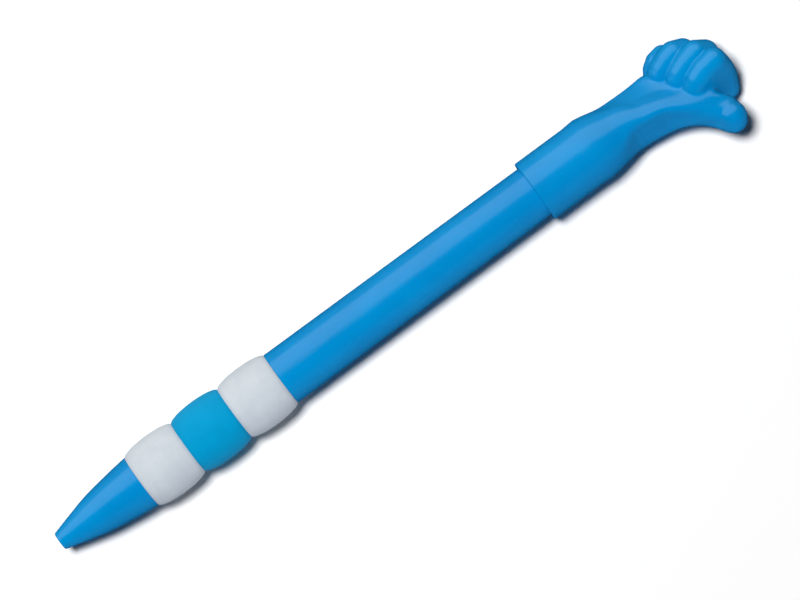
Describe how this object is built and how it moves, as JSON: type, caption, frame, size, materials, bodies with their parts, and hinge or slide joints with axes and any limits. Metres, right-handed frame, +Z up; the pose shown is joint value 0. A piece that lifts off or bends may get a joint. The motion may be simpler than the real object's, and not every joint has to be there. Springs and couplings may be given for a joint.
{
  "type": "ballpoint pen",
  "caption": "Twist ballpoint pen topped with a thumbs-up fist; turning the hand feeds the point out of the nose, and bead-shaped rings form the grip.",
  "frame": {"origin": "on the surface the pen lies on, below the centre of its bounding box", "axes": "+X along the pen from the writing end to the hand, +Z up from the desk, -Y towards the side the thumb points to"},
  "size_m": [0.1434, 0.0204, 0.012],
  "materials": {
    "blue_plastic": "glossy moulded blue",
    "bead_white": "matte white",
    "bead_blue": "matte blue",
    "mechanism_plastic": "natural moulded acetal",
    "spring_wire": "drawn wire",
    "refill_plastic": "thin extruded tube",
    "point_metal": "turned",
    "ball_carbide": "ground",
    "ink": "wet",
    "seal_grease": "clear grease"
  },
  "bodies": {
    "pen_body": {"barrel": "blue_plastic", "front_section": "blue_plastic", "grip_bead_1_white": "bead_white", "grip_bead_2_blue": "bead_blue", "grip_bead_3_white": "bead_white", "guide_sleeve": "mechanism_plastic", "rear_bush": "mechanism_plastic", "return_spring": "spring_wire"},
    "hand": {"hand_top": "blue_plastic", "cam_sleeve": "mechanism_plastic"},
    "refill": {"follower": "mechanism_plastic", "refill_tube": "refill_plastic", "refill_point": "point_metal", "ink_column": "ink", "ink_seal": "seal_grease"},
    "ball": {"writing_ball": "ball_carbide"}
  },
  "joints": [
    {"name": "hand_twist", "type": "hinge", "parent": "pen_body", "child": "hand", "pos_m": [0.03079, 0.00264, 0.006], "axis": [-1, 0, 0], "range_deg": [0, 180]},
    {"name": "refill_feed", "type": "slide", "parent": "pen_body", "child": "refill", "axis": [-1, 0, 0], "range_m": [0, 0.005], "deforming": ["return_spring"]},
    {"name": "ball_roll", "type": "hinge", "parent": "refill", "child": "ball", "pos_m": [-0.06951, 0.00264, 0.006], "axis": [0, 1, 0], "continuous": true}
  ],
  "couplings": [
    {"joint": "hand_twist", "follows": "refill_feed", "rad_per_m": 628.3}
  ]
}
